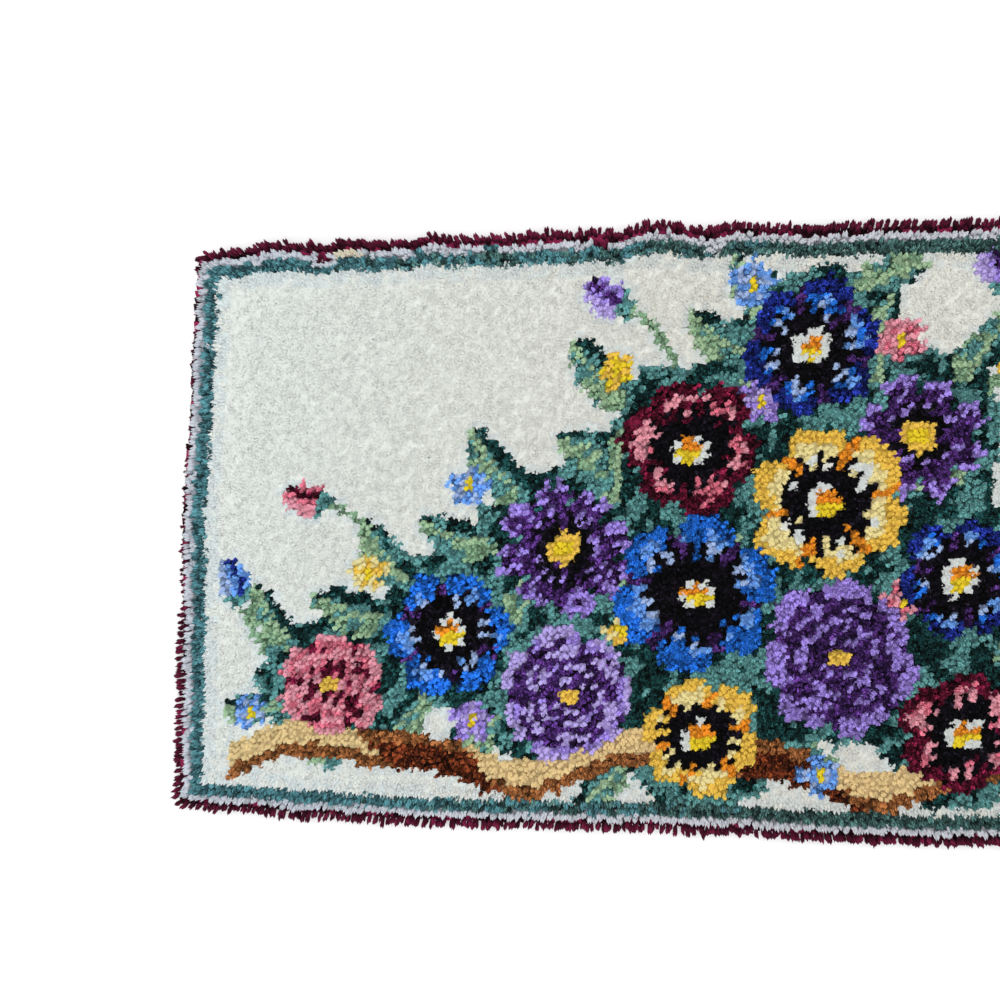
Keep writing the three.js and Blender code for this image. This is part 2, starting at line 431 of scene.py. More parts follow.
# Middle in knots from the rug's middle, radius in knots, petals, turn, and colours of yarn
BLOOMS = (
    (hook_anemone, (30, 28), 10.0, 6, 0.3, ("navy", "blue", "sky_blue", "aubergine", "pale_blue")),
    (hook_anemone, (13, 13), 10.4, 6, 0.9, ("wine", "rose", "pale_pink", "wine", "wine")),
    (hook_cosmos, (-6, -2), 11.0, 8, 0.2, ("lilac", "aubergine", "lilac", "aubergine")),
    (hook_anemone, (-24, -15), 10.4, 6, 0.1, ("blue", "blue", "sky_blue", "aubergine", "pale_blue")),
    (hook_rose, (-43, -24), 8.8, 6, 0.5, ("wine", "rose", "rose", "pale_pink")),
    (hook_cosmos, (46, 15), 9.6, 8, 0.4, ("lilac", "aubergine", "lilac", "aubergine")),
    (hook_anemone, (33, 5), 11.2, 6, 0.7, ("gold", "pale_yellow", "pale_yellow", "orange", "ivory")),
    (hook_anemone, (14, -9), 12.2, 6, 0.35, ("blue", "blue", "sky_blue", "aubergine", "pale_blue")),
    (hook_rose, (-5, -25), 10.6, 7, 0.0, ("aubergine", "aubergine", "lilac", "pale_lilac")),
    (hook_anemone, (52, -6), 9.4, 6, 0.2, ("navy", "blue", "sky_blue", "aubergine", "pale_blue")),
    (hook_rose, (35, -18), 11.6, 7, 0.6, ("aubergine", "aubergine", "lilac", "lilac")),
    (hook_anemone, (15, -31), 9.2, 6, 0.8, ("gold", "gold", "pale_yellow", "orange", "pale_yellow")),
    (hook_anemone, (53, -29), 9.4, 6, 0.55, ("wine", "rose", "pale_pink", "wine", "pale_pink")),
)
# Base, direction, length and half width
LEAVES = (
    (22, 26, 2.5, 13, 3.6), (24, 33, 2.2, 10, 3.0), (35, 35, 0.4, 12, 3.2), (4, 20, 2.4, 14, 4.0),
    (5, 12, 2.9, 13, 3.8), (-12, 6, 2.3, 14, 4.0), (-16, -1, 2.9, 13, 3.6), (-30, -8, 2.2, 13, 3.8),
    (-33, -13, 2.9, 14, 3.8), (-49, -18, 2.2, 12, 3.4), (-50, -27, 3.3, 11, 3.0),
    (-37, -31, 3.7, 11, 3.0), (40, 22, 1.5, 14, 3.8), (52, 22, 1.0, 13, 3.4), (22, 16, 1.2, 13, 4.0),
    (2, 4, 1.5, 12, 4.0), (22, -2, 2.4, 12, 4.0), (3, -12, 0.6, 10, 4.0), (-14, -16, 1.1, 10, 3.6),
    (24, -22, 0.3, 12, 4.0), (44, -12, 0.8, 12, 4.0), (43, -26, 5.4, 12, 3.6), (25, -33, 5.9, 14, 3.6),
    (4, -34, 4.0, 11, 3.4), (-16, -28, 3.8, 14, 3.8), (58, 2, 0.8, 9, 3.2), (57, -18, 0.2, 8, 3.0),
    (-27, -24, 4.0, 11, 3.2), (43, 6, 0.3, 10, 3.6),
)
# Middle, radius, turn and colours
BLOSSOMS = (
    ((21, 37), 3.4, 0.2, "sky_blue", "pale_blue"), ((43, 29), 3.6, 0.8, "pale_pink", "rose"),
    ((1, 25), 3.2, 0.5, "gold", "yellow"), ((-21, 8), 3.4, 0.1, "sky_blue", "pale_blue"),
    ((-37, -6), 3.4, 0.4, "pale_yellow", "gold"), ((-56, -29), 3.0, 0.9, "sky_blue", "pale_blue"),
    ((-20, -29), 3.4, 0.3, "lilac", "pale_lilac"), ((33, -36), 3.2, 0.6, "sky_blue", "pale_blue"),
    ((60, 25), 3.2, 0.6, "gold", "yellow"), ((23, 20), 3.3, 0.3, "lilac", "pale_lilac"),
    ((3, -14.5), 3.0, 0.7, "pale_yellow", "gold"), ((44, -9), 3.2, 0.7, "pale_pink", "rose"),
)
# Start, bend and end of the stem, direction of the bud, and colours
BUDS = (
    ((12, 22), (8, 30), (2, 34), 2.6, "lilac", "pale_lilac", "aubergine"),
    ((-31, -6), (-36, 3), (-44, 5), 2.9, "rose", "pale_pink", "wine"),
    ((-50, -22), (-56, -18), (-58, -11), 1.9, "sky_blue", "pale_blue", "navy"),
    ((56, 22), (60, 30), (57, 36), 2.0, "lilac", "pale_lilac", "aubergine"),
)
# First and last column, rows down from the top edge, and colour of knots hooked out of place or mended
BORDER_SLIPS = (
    (20, 21, 1, "burgundy"), (19, 22, 2, "lilac_grey"), (23, 26, 1, "beige"), (64, 65, 1, "burgundy"),
    (9, 10, 2, "lilac_grey"), (36, 36, 1, "teal"), (47, 48, 1, "teal"), (81, 83, 2, "lilac_grey"),
)
RIBBON_UP = -35.0
RIBBON_HALF_WIDTH = 2.9
RIBBON_ENDS = (-60, 61)
# Height of its waves in knots, and their length in knots for each radian
RIBBON_WAVE = (2.2, 8.5)
RIBBON_RIPPLE = (0.9, 4.1)
# How many knots the dark ground reaches past each bloom, how uneven that is, and how far off its knots are
# counted to fill gaps
GROUND_REACH = 2.6
GROUND_UNEVEN = 1.6
GROUND_FILL = 4

for bud in BUDS:
    hook_stem_and_bud(*bud)
ground = np.zeros(column.shape, bool)
for kind, middle, radius, count, turn, colours in BLOOMS:
    edge = radius + GROUND_REACH + GROUND_UNEVEN * cloud(3)
    ground |= np.hypot(right - middle[0], up - middle[1]) < edge
steps = range(-GROUND_FILL, GROUND_FILL + 1)
filled = sum(np.roll(ground, (i, j), (0, 1)).astype(float) for i in steps for j in steps)
ground |= filled / len(steps) ** 2 > 0.5
hook(ground, "bottle_green")
hook(ground & (cloud(2) > 0), "sea_green")
for leaf in LEAVES:
    hook_leaf(*leaf)
from_ribbon = up - RIBBON_UP - RIBBON_WAVE[0] * np.sin(right / RIBBON_WAVE[1])
from_ribbon = from_ribbon - RIBBON_RIPPLE[0] * np.sin(right / RIBBON_RIPPLE[1] + 1)
ribbon = (np.abs(from_ribbon) < RIBBON_HALF_WIDTH) & (right > RIBBON_ENDS[0]) & (right < RIBBON_ENDS[1])
turned = np.cos((right + 1.4 * from_ribbon) / RIBBON_WAVE[1]) < -0.5
hook(ribbon, "tan")
hook(ribbon & (from_ribbon < -0.8), "nut")
hook(ribbon & turned, "brown")
hook(ribbon & turned & (from_ribbon > 1.2), "nut")
for blossom in BLOSSOMS:
    hook_blossom(*blossom)
for kind, middle, radius, count, turn, colours in BLOOMS:
    kind(middle, radius, count, turn, *colours)
# Mostly cold white next to the design and the border, and ivory everywhere else
plain = chart == DYE_NAMES.index("ivory")
beside = rows_in < COLD_ROWS
for step in ((1, 0), (-1, 0), (0, 1), (0, -1)):
    beside |= ~np.roll(plain, step, (0, 1))
hook(plain & beside & (chance.random(column.shape) < COLD_SHARE), "cold_white")
hook(rows_in < TEAL_ROWS, "teal")
deep_share = np.clip((column / KNOTS_ACROSS - DEEP_TEAL_FROM) / DEEP_TEAL_OVER, 0, 1)
hook((rows_in < TEAL_ROWS) & (chance.random(column.shape) < deep_share), "deep_teal")
hook(rows_in < GREY_ROWS, "lilac_grey")
hook(rows_in < BURGUNDY_ROWS, "burgundy")
for first, last, rows_down, dye in BORDER_SLIPS:
    hook((column >= first) & (column <= last) & (row == KNOTS_DOWN - 1 - rows_down), dye)


# Knots
# Each strand is looped round its canvas thread: a short bar of yarn shows under the canvas, and over it the
# knot and the lower halves of its two ends are pressed together by their neighbours. Only the tips part.
KNOT_BACK_SIZE = (5.7 * MM, 3.8 * MM)
KNOT_BACK_HEIGHT = 0.2 * MM
# Size of the pressed yarn at its top as a share of the back's, and how uneven that and the rest are
KNOT_TOP_SHARE = (1.45, 2.18)
KNOT_TOP_UNEVEN = (0.9 * MM, 0.9 * MM, 0.6 * MM)
KNOT_UNEVEN = 0.15 * MM
# How far over the floor the lowest corner stays
LEAST_HEIGHT = 0.02 * MM
# Top of the pressed yarn by rows in from the edge, and how much more there is of it in the cream field
KNOT_TOP_HEIGHTS = ((0, 12 * MM), (1, 14 * MM), (2, 15.5 * MM), (4, 17 * MM), (6, 18.5 * MM))
CREAM_TOP_RISE = 2 * MM
# Share of the pile's lean that the pressed yarn takes, and how far its shading is turned up
KNOT_LEAN = 0.45
KNOT_FLUFF = 0.7
# How far the yarn's streaks run on from one side of a knot to the other, each way
KNOT_STREAKS = (3, 2)
# How far up its strand the pressed yarn counts in the painted shade towards the root, how much deeper that
# painted shade is at the top of dyed yarn between the tufts, and how uneven the cream yarn's shades are
# against the others'
KNOT_LIGHT = 0.9
DYED_TOP_SHADE = 0.5
CREAM_EVENNESS = 0.25
# Lean of the pile in degrees by rows in from the edge: along a straight edge, along the left edge where it
# is open, and along it where it is rolled under
LEAN = (
    (0, 32, 45, 88), (1, 13, 20, 36), (2, 12, 12, 24), (3, 11, 11, 22), (4, 12, 12, 22), (5, 9, 10, 18),
    (6, 6, 7, 13), (7, 4, 4, 9), (8, 2, 2, 5), (9, 1, 1, 2), (10, 0, 0, 0),
)
# Share by which the lean varies in waves along the edges, and the most that an end can lean
LEAN_WAVES = 0.15
MOST_LEAN = math.radians(105)
# How far the left edge is rolled under, from the bottom corner to the top one
LEFT_ROLL = ((0.0, 0), (0.3, 0), (0.4, 0.5), (0.58, 0.7), (0.75, 1), (0.92, 1), (1.0, 0.4))
# Share of the top edge's lean that the pile there also takes to the left, from the left corner to the right
TOP_ASIDE = ((0.0, 0), (0.04, 0.5), (0.2, 0.6), (0.3, 0.35), (0.4, 0.1), (0.5, 0), (1.0, 0))
CREAM_DYES = ("ivory", "cold_white", "beige")
# Parts of the way across between which the yarn turns warmer and darker, a painted fall-off of the light
# towards the right, and the share of the warmth that is uneven from strand to strand
FALLOFF_FROM = 0.1
FALLOFF_TO = 0.6
STRAND_WARMTH = 0.3
PILE_SEED = 5
knot_dye = chart.ravel()
from_edge = rows_in.ravel()
is_cream = np.isin(knot_dye, [DYE_NAMES.index(name) for name in CREAM_DYES])
knot_across = (column.ravel() + 0.5) / KNOTS_ACROSS
knot_up = (row.ravel() + 0.5) / KNOTS_DOWN
knot_place = on_canvas(knot_across, knot_up)
yarn_colours = np.array([dyed(colour) for colour in DYES.values()])
pile_chance = np.random.default_rng(PILE_SEED)


def leaning(lean):
    """Direction of yarn that leans from upright by these angles to the right and up the rug."""
    angle = np.maximum(np.linalg.norm(lean, axis=-1, keepdims=True), 1e-6)
    held = np.minimum(angle, MOST_LEAN)
    return np.concatenate((lean / angle * np.sin(held), np.cos(held)), axis=-1)


def edge_leans():
    """Lean of each knot's ends out over the edges near it, in radians to the right and up the rug."""
    roll = read_edge(LEFT_ROLL, knot_up)
    in_rows, open_lean, left_lean, rolled_lean = np.array(LEAN).T
    knot_column, knot_row = column.ravel(), row.ravel()
    waves = 1 + LEAN_WAVES * cloud(6).ravel()
    open_left = np.interp(knot_column, in_rows, left_lean)
    rolled_left = np.interp(knot_column, in_rows, rolled_lean)
    left = open_left + (rolled_left - open_left) * roll
    to_right = np.interp(KNOTS_ACROSS - 1 - knot_column, in_rows, open_lean)
    down = np.interp(knot_row, in_rows, open_lean)
    to_top = np.interp(KNOTS_DOWN - 1 - knot_row, in_rows, open_lean)
    left = left + to_top * read_edge(TOP_ASIDE, knot_across)
    return np.radians(np.column_stack((to_right - left, to_top - down)) * waves[:, None])


knot_lean = edge_leans()


def template(shape):
    """Corners and faces of a small bmesh shape, to be repeated many times."""
    shape.verts.index_update()
    corners = np.array([corner.co for corner in shape.verts])
    faces = [[corner.index for corner in face.verts] for face in shape.faces]
    shape.free()
    return corners, faces


# Share of each copy's cell in the map that is left free on each side
CELL_MARGIN = 0.06


def repeated_mesh(name, corners, faces, face_map, around, colours, shades):
    """Joins many copies of a template into one mesh with its colours, shades and a map cell for each copy.
    The attribute yarn holds how far up its yarn a corner is, which sets the painted shade towards the root,
    its shade, and its warmth, which also carries a painted darker shade towards the right."""
    copies, corner_count = corners.shape[:2]
    sizes = np.array([len(face) for face in faces])
    loops = np.concatenate(faces)
    mesh = bpy.data.meshes.new(name)
    mesh.vertices.add(copies * corner_count)
    mesh.loops.add(copies * len(loops))
    mesh.polygons.add(copies * len(sizes))
    mesh.vertices.foreach_set("co", corners.astype(np.float32).ravel())
    first_corner = np.arange(copies)[:, None] * corner_count
    mesh.loops.foreach_set("vertex_index", (first_corner + loops).astype(np.int32).ravel())
    starts = np.concatenate(([0], np.cumsum(sizes)[:-1]))
    all_starts = np.arange(copies)[:, None] * len(loops) + starts
    mesh.polygons.foreach_set("loop_start", all_starts.astype(np.int32).ravel())
    mesh.update(calc_edges=True)
    mesh.shade_smooth()
    dye = mesh.attributes.new("dye", "FLOAT_COLOR", "POINT")
    dye.data.foreach_set("color", np.repeat(colours, corner_count, axis=0).astype(np.float32).ravel())
    yarn = mesh.attributes.new("yarn", "FLOAT_VECTOR", "POINT")
    yarn.data.foreach_set("vector", shades.astype(np.float32).ravel())
    turn = mesh.attributes.new("around", "FLOAT", "POINT")
    turn.data.foreach_set("value", np.tile(around, copies).astype(np.float32))
    cells = math.ceil(math.sqrt(copies))
    cell = np.stack((np.arange(copies) % cells, np.arange(copies) // cells), axis=-1)
    places = (cell[:, None] + CELL_MARGIN + (1 - 2 * CELL_MARGIN) * face_map) / cells
    mesh.uv_layers.new(name="OFBake").data.foreach_set("uv", places.astype(np.float32).ravel())
    return mesh


# Noise cells in a metre of yarn, depth of its fibres, and how much they change its tone and its roughness
YARN_FIBRES = 1400.0
FIBRE_RELIEF = 0.4 * MM
FIBRE_FLECK = 0.14
# Tone and roughness of the yarn where its fibres are darkest
LEAST_TONE = 0.88
LEAST_ROUGHNESS = 0.82
# How many streaks go round and along a ply, and how far each strand's shade and warmth move them
STREAKS_ROUND = 2.4
STREAKS_ALONG = 1.6
STREAK_MOVES = (37, 53)
# Weight of the streaks against the shades, what is taken off their sum, and the highest level, a cap on the
# painted highlights, that a black and a white dye may reach
STREAK_WEIGHT = 1.3
LEVEL_DROP = 1.15
HIGHEST_BLACK = 0.51
HIGHEST_WHITE = 0.05
# How much light a bright dye throws back between the roots, as a share of what is missing there
ROOT_BOUNCE = 0.7
# Power by which light grows from the root to the tip
LIGHT_POWER = 1.4


def yarn_material(name, root_light, root_shade_tint, swing, warm_and_shade_tint, sheen, glow):
    """Cut acrylic yarn: its dye, with painted shade deepening towards the knot between the tufts. Its random
    shades and the streaks of its twisted fibres vary its tone and paint highlights and shade, further in a
    dark dye than in a bright one."""
    material, start = new_material(name)
    place = start.node("TexCoord", {}, {}, "Object")
    dye = start.node("Attribute", {"attribute_name": "dye"}, {}, "Color")
    yarn = start.node("Attribute", {"attribute_name": "yarn"}, {}, "Vector")
    along = start.node("SeparateXYZ", {}, {0: yarn}, "X")
    shade = start.node("SeparateXYZ", {}, {0: yarn}, "Y")
    warmth = start.node("SeparateXYZ", {}, {0: yarn}, "Z")
    around = start.node("Attribute", {"attribute_name": "around"}, {}, "Fac")
    fibre = start.node("TexNoise", {}, {"Vector": place, "Scale": YARN_FIBRES, "Detail": 4.0}, "Fac")
    strand_x = around * STREAKS_ROUND + shade * STREAK_MOVES[0] + warmth * STREAK_MOVES[1]
    strand = start.node("CombineXYZ", {}, {"X": strand_x, "Y": along * STREAKS_ALONG})
    streak = start.node("TexNoise", {"noise_dimensions": "2D"}, {"Vector": strand, "Scale": 1.0}, "Fac")
    bright = start.node("RGBToBW", {}, {"Color": dye}, "Val")
    # Painted shade towards the root between the tufts, eased by painted bounce light in a bright dye; the
    # cream yarn's roots are painted lighter than its tips
    root = root_light + ROOT_BOUNCE * (1 - root_light) * bright
    light = root + (1 - root) * along**LIGHT_POWER
    # Random shades and streaks vary the tone and paint highlights and shade, more in a dark dye, up to a cap
    # on the painted highlights
    paleness = bright**0.3
    spread = swing * (1 - paleness)
    highest = HIGHEST_BLACK - (HIGHEST_BLACK - HIGHEST_WHITE) * paleness
    level = start.math("MINIMUM", shade + STREAK_WEIGHT * streak - LEVEL_DROP, highest)
    tone = light * 2 ** (spread * level) * (LEAST_TONE + FIBRE_FLECK * fibre)
    # Painted shade: the dye is given a deeper tint towards the root
    root_shaded = start.node(
        "Mix",
        {"data_type": "RGBA", "blend_type": "MULTIPLY"},
        {"Factor": 1 - along, "A": dye, "B": dyed(root_shade_tint)},
        "Result",
    )
    # Warmer at random from strand to strand, and warmer and darker towards the right: a painted fall-off of
    # the light
    warm_and_shaded = start.node(
        "Mix",
        {"data_type": "RGBA", "blend_type": "MULTIPLY"},
        {"Factor": warmth, "A": root_shaded, "B": dyed(warm_and_shade_tint)},
        "Result",
    )
    colour = start.node("VectorMath", {"operation": "SCALE"}, {0: warm_and_shaded, "Scale": tone}, 0)
    relief = start.node("Bump", {}, {"Height": fibre, "Strength": 0.5, "Distance": FIBRE_RELIEF}, "Normal")
    rough = LEAST_ROUGHNESS + FIBRE_FLECK * fibre
    shader = start.node(
        "BsdfPrincipled",
        {},
        {
            "Base Color": colour,
            "Roughness": rough,
            "Normal": relief,
            "Specular IOR Level": 0.1,
            "Sheen Weight": sheen,
            "Sheen Roughness": 0.5,
            "Subsurface Weight": glow,
            "Subsurface Scale": 4 * MM,
            "Subsurface Radius": (1.0, 1.0, 0.9),
        },
        "BSDF",
    )
    start.node("OutputMaterial", {}, {"Surface": shader})
    return material


def unit(vectors):
    """The vectors at length 1."""
    return vectors / np.linalg.norm(vectors, axis=-1, keepdims=True)


def fluff_up(mesh, share):
    """Turns the shading of the yarn part of the way up, as its loose fibres catch the light from above.
    Its underside keeps its own."""
    normals = np.empty(len(mesh.vertices) * 3, np.float32)
    mesh.vertices.foreach_get("normal", normals)
    normals = normals.reshape(-1, 3)
    bend = share * np.clip(1 + 2 * normals[:, 2:], 0, 1)
    normals = unit(normals * (1 - bend) + bend * np.array((0, 0, 1)))
    mesh.normals_split_custom_set_from_vertices(normals.tolist())


def warmed_and_dimmed(warmth, across):
    """Warmth of yarns: uneven from strand to strand, and warmer and darker towards the right, a painted
    fall-off of the light.
    """
    falloff = np.clip((across - FALLOFF_FROM) / (FALLOFF_TO - FALLOFF_FROM), 0, 1)
    return STRAND_WARMTH * warmth + (1 - STRAND_WARMTH) * falloff[:, None]


def knots_mesh():
    """A bar of yarn for each knot, narrow under the canvas and wide above it."""
    bar = bmesh.new()
    bmesh.ops.create_cube(bar, size=1)
    bmesh.ops.translate(bar, vec=(0, 0, 0.5), verts=bar.verts)
    top = [corner for corner in bar.verts if corner.co.z > 0.5]
    bmesh.ops.scale(bar, vec=(*KNOT_TOP_SHARE, 1), verts=top)
    bmesh.ops.scale(bar, vec=(*KNOT_BACK_SIZE, 1), verts=bar.verts)
    bmesh.ops.recalc_face_normals(bar, faces=bar.faces[:])
    corners, faces = template(bar)
    face_map = np.tile(((0, 0), (1, 0), (1, 1), (0, 1)), (len(faces), 1))
    backs = np.column_stack((knot_place, np.full(len(knot_place), KNOT_BACK_HEIGHT)))
    in_rows, top_heights = np.array(KNOT_TOP_HEIGHTS).T
    heights = np.interp(from_edge, in_rows, top_heights) - KNOT_BACK_HEIGHT
    heights += CREAM_TOP_RISE * (is_cream & (from_edge >= TEAL_ROWS))
    tops = heights[:, None] * leaning(KNOT_LEAN * knot_lean)
    placed = backs[:, None] + corners * (1, 1, 0) + corners[:, 2:] * tops[:, None]
    placed += pile_chance.normal(0, KNOT_UNEVEN, placed.shape)
    placed += corners[:, 2:] * KNOT_TOP_UNEVEN * pile_chance.normal(0, 1, placed.shape)
    placed[..., 2] = np.maximum(placed[..., 2], LEAST_HEIGHT)
    shades = np.full(placed.shape, KNOT_LIGHT)
    # Painted shade: deeper at the tops of dyed knots, between the tufts
    painted_top_shade = DYED_TOP_SHADE * ~is_cream
    shades[..., 0] -= painted_top_shade[:, None] * (corners[:, 2] > 0.5)
    evenness = np.where(is_cream, CREAM_EVENNESS, 1)[:, None, None]
    shades[..., 1:] = 0.5 + evenness * (pile_chance.random((len(placed), 1, 2)) - 0.5)
    shades[..., 2] = warmed_and_dimmed(shades[..., 2], knot_across)
    around = KNOT_STREAKS[0] * corners[:, 0] / KNOT_BACK_SIZE[0]
    around = around + KNOT_STREAKS[1] * corners[:, 1] / KNOT_BACK_SIZE[1]
    return repeated_mesh("knots", placed, faces, face_map, around, yarn_colours[knot_dye], shades)


dyed_yarn = yarn_material(
    "dyed_yarn", root_light=0.5, root_shade_tint="c8c4c8", swing=12.0, warm_and_shade_tint="fff8f4", sheen=0.03, glow=0.0
)
cream_yarn = yarn_material(
    "cream_yarn", root_light=1.23, root_shade_tint="fbfaf2", swing=2.0, warm_and_shade_tint="f0e6e0", sheen=0.05, glow=0.6
)
burgundy_yarn = yarn_material(
    "burgundy_yarn", root_light=0.4, root_shade_tint="c8b0b8", swing=6.0, warm_and_shade_tint="ffffff", sheen=0.03, glow=0.0
)
knots_shape = knots_mesh()
fluff_up(knots_shape, KNOT_FLUFF)
knots = new_piece("knots", knots_shape, dyed_yarn)
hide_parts("hooked_rug")


# Cut yarn pile
# Each hole holds a strand of acrylic rug yarn 63 mm long, knotted round the canvas thread at its middle,
# so that its two cut ends stand up side by side. Each end opens into its four plies at the top,
# and at the rim the ends lean out over the edge.
PILE_LENGTH = 23.0 * MM
ROLLED_END_LENGTH = 15 * MM
ROOT_HEIGHT = 1.6 * MM
ROOT_SPREAD = 0.8 * MM
# How far over the floor the middle of a tip stays
LEAST_TIP_HEIGHT = 3.5 * MM
# Share of an end's lean that its lower half and its upper half take
LOWER_LEAN = 0.4
UPPER_LEAN = 1.6
# How the ends of a knot hold together: loose in the cream field, in tufts in the design, half open in the
# border rows, and twisted at the rim. Distance of the tips from the knot's middle each way, unevenness of
# the tips, splay of the plies towards the tip as a share of the radius, radius of an end, and a power that is
# low for blunt tips
TUFTS = (
    (1.69 * MM, 1.2 * MM, 0.5, 3.7 * MM, 1.0),
    (1.69 * MM, 0.9 * MM, 0.15, 3.1 * MM, 0.8),
    (1.69 * MM, 1.0 * MM, 0.3, 3.2 * MM, 1.0),
    (1.69 * MM, 0.6 * MM, 0.3, 2.5 * MM, 0.6),
)
# Share by which the two ends of a knot lean apart
END_FAN = 0.28
# Rows over which the rim's own habits fade out inwards
RIM_FADE = 1.2
# Unevenness of the pile: where a whole knot's tips stand, the lie of the nap in broad and small waves, how
# much further or less far an end leans, its length as a share, and the clipped surface's waves
KNOT_SHIFT = 1.2 * MM
NAP = 1.6 * MM
LEAN_UNEVEN = 0.4
LENGTH_UNEVEN = 0.022
CLIP_WAVES = 0.5 * MM
# The same at the rim, where ends stand free: lean, length, and length of those that are rolled under
RIM_LEAN_UNEVEN = math.radians(2.5)
RIM_LENGTH_UNEVEN = 1.4 * MM
ROLLED_LENGTH_UNEVEN = 2.5 * MM
# Shares that the rim takes away: of the unevenness and the fan, and of each end's own lean
RIM_STEADY = 0.6
RIM_LEAN_STEADY = 0.85
# Share by which a rolled end is thinner, and unevenness of an end's radius and of a ply's length
ROLLED_THINNER = 0.45
RADIUS_UNEVEN = 0.07
PLY_LENGTH_UNEVEN = 0.04
# How far a ply strays sideways at its tip, and how much more it does for each share of splay
PLY_STRAY = 0.04
SPLAY_STRAY = 0.24
# How far over the floor the lowest ply stays
PLY_CLEARANCE = 0.2 * MM
# Weights of a knot's, an end's and a ply's own shade
KNOT_SHADE = 0.35
END_SHADE = 0.35
PLY_SHADE = 0.3
# Share of a knot's shade that is its own, and the weight of shades that drift over the rug
KNOT_OWN = 0.7
DRIFT_SHADE = 0.05
# How far the shading of the pile is turned up
CREAM_FLUFF = 0.55
DYED_FLUFF = 0.3
PLIES = 4
PLY_SIDES = 3
# Height of a ply's widest place, and its radius there, as shares of the length and radius of the end
PLY_BELLY = 0.8
PLY_WIDTH = 0.68
# How far a ply stands from the middle of its end at the root
PLY_OFF = 0.25


def ply_template():
    """One ply of a cut end, one high: it swells from its root and closes to a blunt tip."""
    ply = bmesh.new()
    belly = bmesh.ops.create_circle(ply, cap_ends=False, segments=PLY_SIDES, radius=PLY_WIDTH)["verts"]
    bmesh.ops.translate(ply, vec=(0, 0, PLY_BELLY), verts=belly)
    ring = ply.edges[:]
    for point in (0, 1):
        grown = bmesh.ops.extrude_edge_only(ply, edges=ring)["geom"]
        far = [part for part in grown if isinstance(part, bmesh.types.BMVert)]
        bmesh.ops.pointmerge(ply, verts=far, merge_co=(0, 0, point))
    bmesh.ops.recalc_face_normals(ply, faces=ply.faces[:])
    return template(ply)


def end_template():
    """One cut end, one high and one in radius: its plies side by side, and the way each stands off."""
    ply, ply_faces = ply_template()
    turns = 2 * np.pi * np.arange(PLIES) / PLIES
    heads = np.column_stack((np.cos(turns), np.sin(turns)))[:, None]
    around = np.tile(np.arctan2(ply[:, 1], ply[:, 0]) * PLY_SIDES / (2 * np.pi), PLIES)
    corners = np.repeat(ply[None], PLIES, axis=0)
    corners[..., :2] += heads * PLY_OFF
    faces = [[corner + number * len(ply) for corner in face] for number in range(PLIES) for face in ply_faces]
    return corners, faces, heads, around


def end_map(corners, faces):
    """Map of one end in its cell. All its faces lie over each other, because its plies are alike."""
    places = []
    for face in faces:
        heights = corners[face, 2]
        point = int(np.argmax(np.abs(heights - PLY_BELLY)))
        for step in range(len(face)):
            corner = (point + step) % len(face)
            places.append((0.5 if step == 0 else step - 1.0, heights[corner]))
    return np.array(places)


